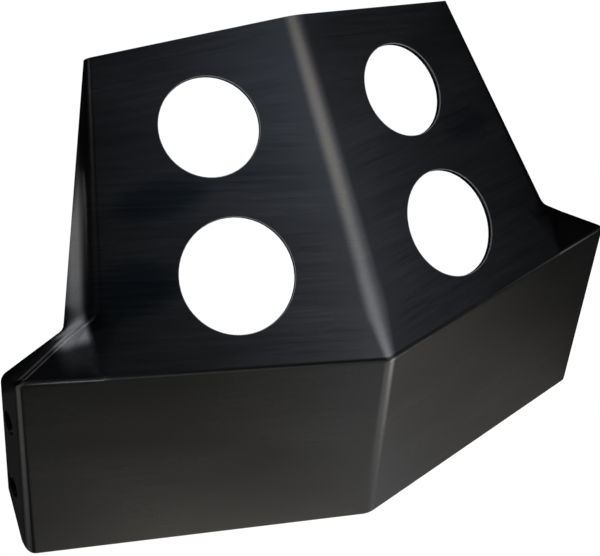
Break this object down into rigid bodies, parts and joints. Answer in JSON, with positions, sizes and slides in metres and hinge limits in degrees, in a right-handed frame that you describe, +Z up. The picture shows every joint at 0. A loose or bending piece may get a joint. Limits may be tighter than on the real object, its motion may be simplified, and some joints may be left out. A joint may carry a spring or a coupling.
{
  "type": "motorcycle skid plate",
  "caption": "Folded metal sheet with a ridged main plate, round vent holes, a wide front band, tapering side walls and bolted end flanges, for the underside of an engine.",
  "frame": {"origin": "centre of the bounding box on the ground that the loose plate rests on", "axes": "+X across the plate, between its end flanges; +Y towards the rear edge; +Z up, out of the outer face"},
  "size_m": [0.3094, 0.233, 0.0825],
  "materials": {
    "plate": "brushed and finished in satin black"
  },
  "bodies": {
    "root": {"skid_plate": "plate"}
  },
  "joints": []
}
